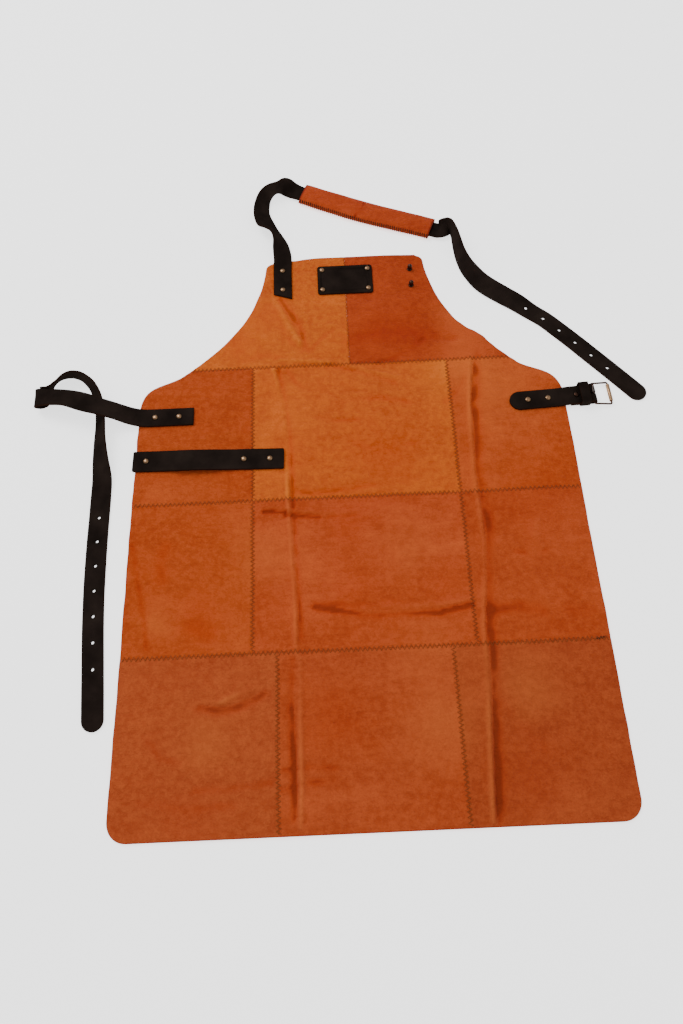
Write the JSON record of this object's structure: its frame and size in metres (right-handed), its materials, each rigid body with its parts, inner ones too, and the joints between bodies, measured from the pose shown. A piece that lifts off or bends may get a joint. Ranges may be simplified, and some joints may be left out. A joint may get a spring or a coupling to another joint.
{
  "type": "welding apron",
  "caption": "Patchwork suede bib apron with a holed neck strap and pad sleeve, hip strap and roller buckle, towel strap, chest patch and ball studs.",
  "frame": {"origin": "on the underside of the middle row's centre panel, on the apron's centre line, where the apron rests on a flat surface", "axes": "+X to the apron's right as seen from its front, +Y from the hem towards the bib's top edge, +Z out of the front of the apron"},
  "size_m": [0.8487, 0.9543, 0.0336],
  "materials": {
    "golden_suede": "napped golden brown split suede, matt",
    "russet_suede": "napped reddish brown split suede, matt",
    "tawny_suede": "napped mottled orange brown split suede, matt",
    "black_leather": "smooth black strap leather, low sheen, dark edges",
    "copper_metal": "antique copper plate, rubbed bright on the high spots",
    "dark_metal": "dark bronze plate, low sheen"
  },
  "bodies": {
    "apron": {"bib_panel_left": "golden_suede", "bib_panel_right": "russet_suede", "waist_panel_left": "russet_suede", "waist_panel_center": "tawny_suede", "waist_panel_right": "tawny_suede", "middle_panel_left": "russet_suede", "middle_panel_center": "tawny_suede", "middle_panel_right": "russet_suede", "hem_panel_left": "tawny_suede", "hem_panel_center": "tawny_suede", "hem_panel_right": "russet_suede", "neck_strap": "black_leather", "hip_strap": "black_leather", "towel_strap": "black_leather", "buckle_tab": "black_leather", "badge_patch": "black_leather", "neck_rivet_1_cap": "copper_metal", "neck_rivet_1_back": "copper_metal", "neck_rivet_2_cap": "copper_metal", "neck_rivet_2_back": "copper_metal", "patch_rivet_1_cap": "copper_metal", "patch_rivet_1_back": "copper_metal", "patch_rivet_2_cap": "copper_metal", "patch_rivet_2_back": "copper_metal", "patch_rivet_3_cap": "copper_metal", "patch_rivet_3_back": "copper_metal", "patch_rivet_4_cap": "copper_metal", "patch_rivet_4_back": "copper_metal", "hip_rivet_1_cap": "copper_metal", "hip_rivet_1_back": "copper_metal", "hip_rivet_2_cap": "copper_metal", "hip_rivet_2_back": "copper_metal", "towel_rivet_1_cap": "copper_metal", "towel_rivet_1_back": "copper_metal", "towel_rivet_2_cap": "copper_metal", "towel_rivet_2_back": "copper_metal", "towel_rivet_3_cap": "copper_metal", "towel_rivet_3_back": "copper_metal", "tab_rivet_1_cap": "copper_metal", "tab_rivet_1_back": "copper_metal", "tab_rivet_2_cap": "copper_metal", "tab_rivet_2_back": "copper_metal", "tab_rivet_3_cap": "copper_metal", "tab_rivet_3_back": "copper_metal", "stud_1": "dark_metal", "stud_1_back": "dark_metal", "stud_2": "dark_metal", "stud_2_back": "dark_metal"},
    "frame": {"buckle_frame": "dark_metal"},
    "roller": {"buckle_roller": "copper_metal"},
    "prong": {"buckle_prong": "dark_metal"},
    "keeper": {"keeper_loop": "black_leather"},
    "sleeve": {"neck_pad_sleeve": "tawny_suede"}
  },
  "joints": [
    {"name": "buckle_pivot", "type": "hinge", "parent": "apron", "child": "frame", "pos_m": [0.33296, 0.23811, 0.0059], "axis": [0.0489, -0.9988, 0], "range_deg": [-60, 100]},
    {"name": "roller_spin", "type": "hinge", "parent": "frame", "child": "roller", "pos_m": [0.35725, 0.2393, 0.00291], "axis": [-0.0489, 0.9988, 0], "continuous": true},
    {"name": "prong_pivot", "type": "hinge", "parent": "apron", "child": "prong", "pos_m": [0.33296, 0.23811, 0.0059], "axis": [0.0489, -0.9988, 0], "range_deg": [-105, 0]},
    {"name": "keeper_slide", "type": "slide", "parent": "apron", "child": "keeper", "axis": [0.9988, 0.0489, 0], "range_m": [-0.0012, 0.0012]},
    {"name": "sleeve_slide", "type": "slide", "parent": "apron", "child": "sleeve", "axis": [0.9221, -0.387, 0], "range_m": [-0.005, 0.005]}
  ]
}
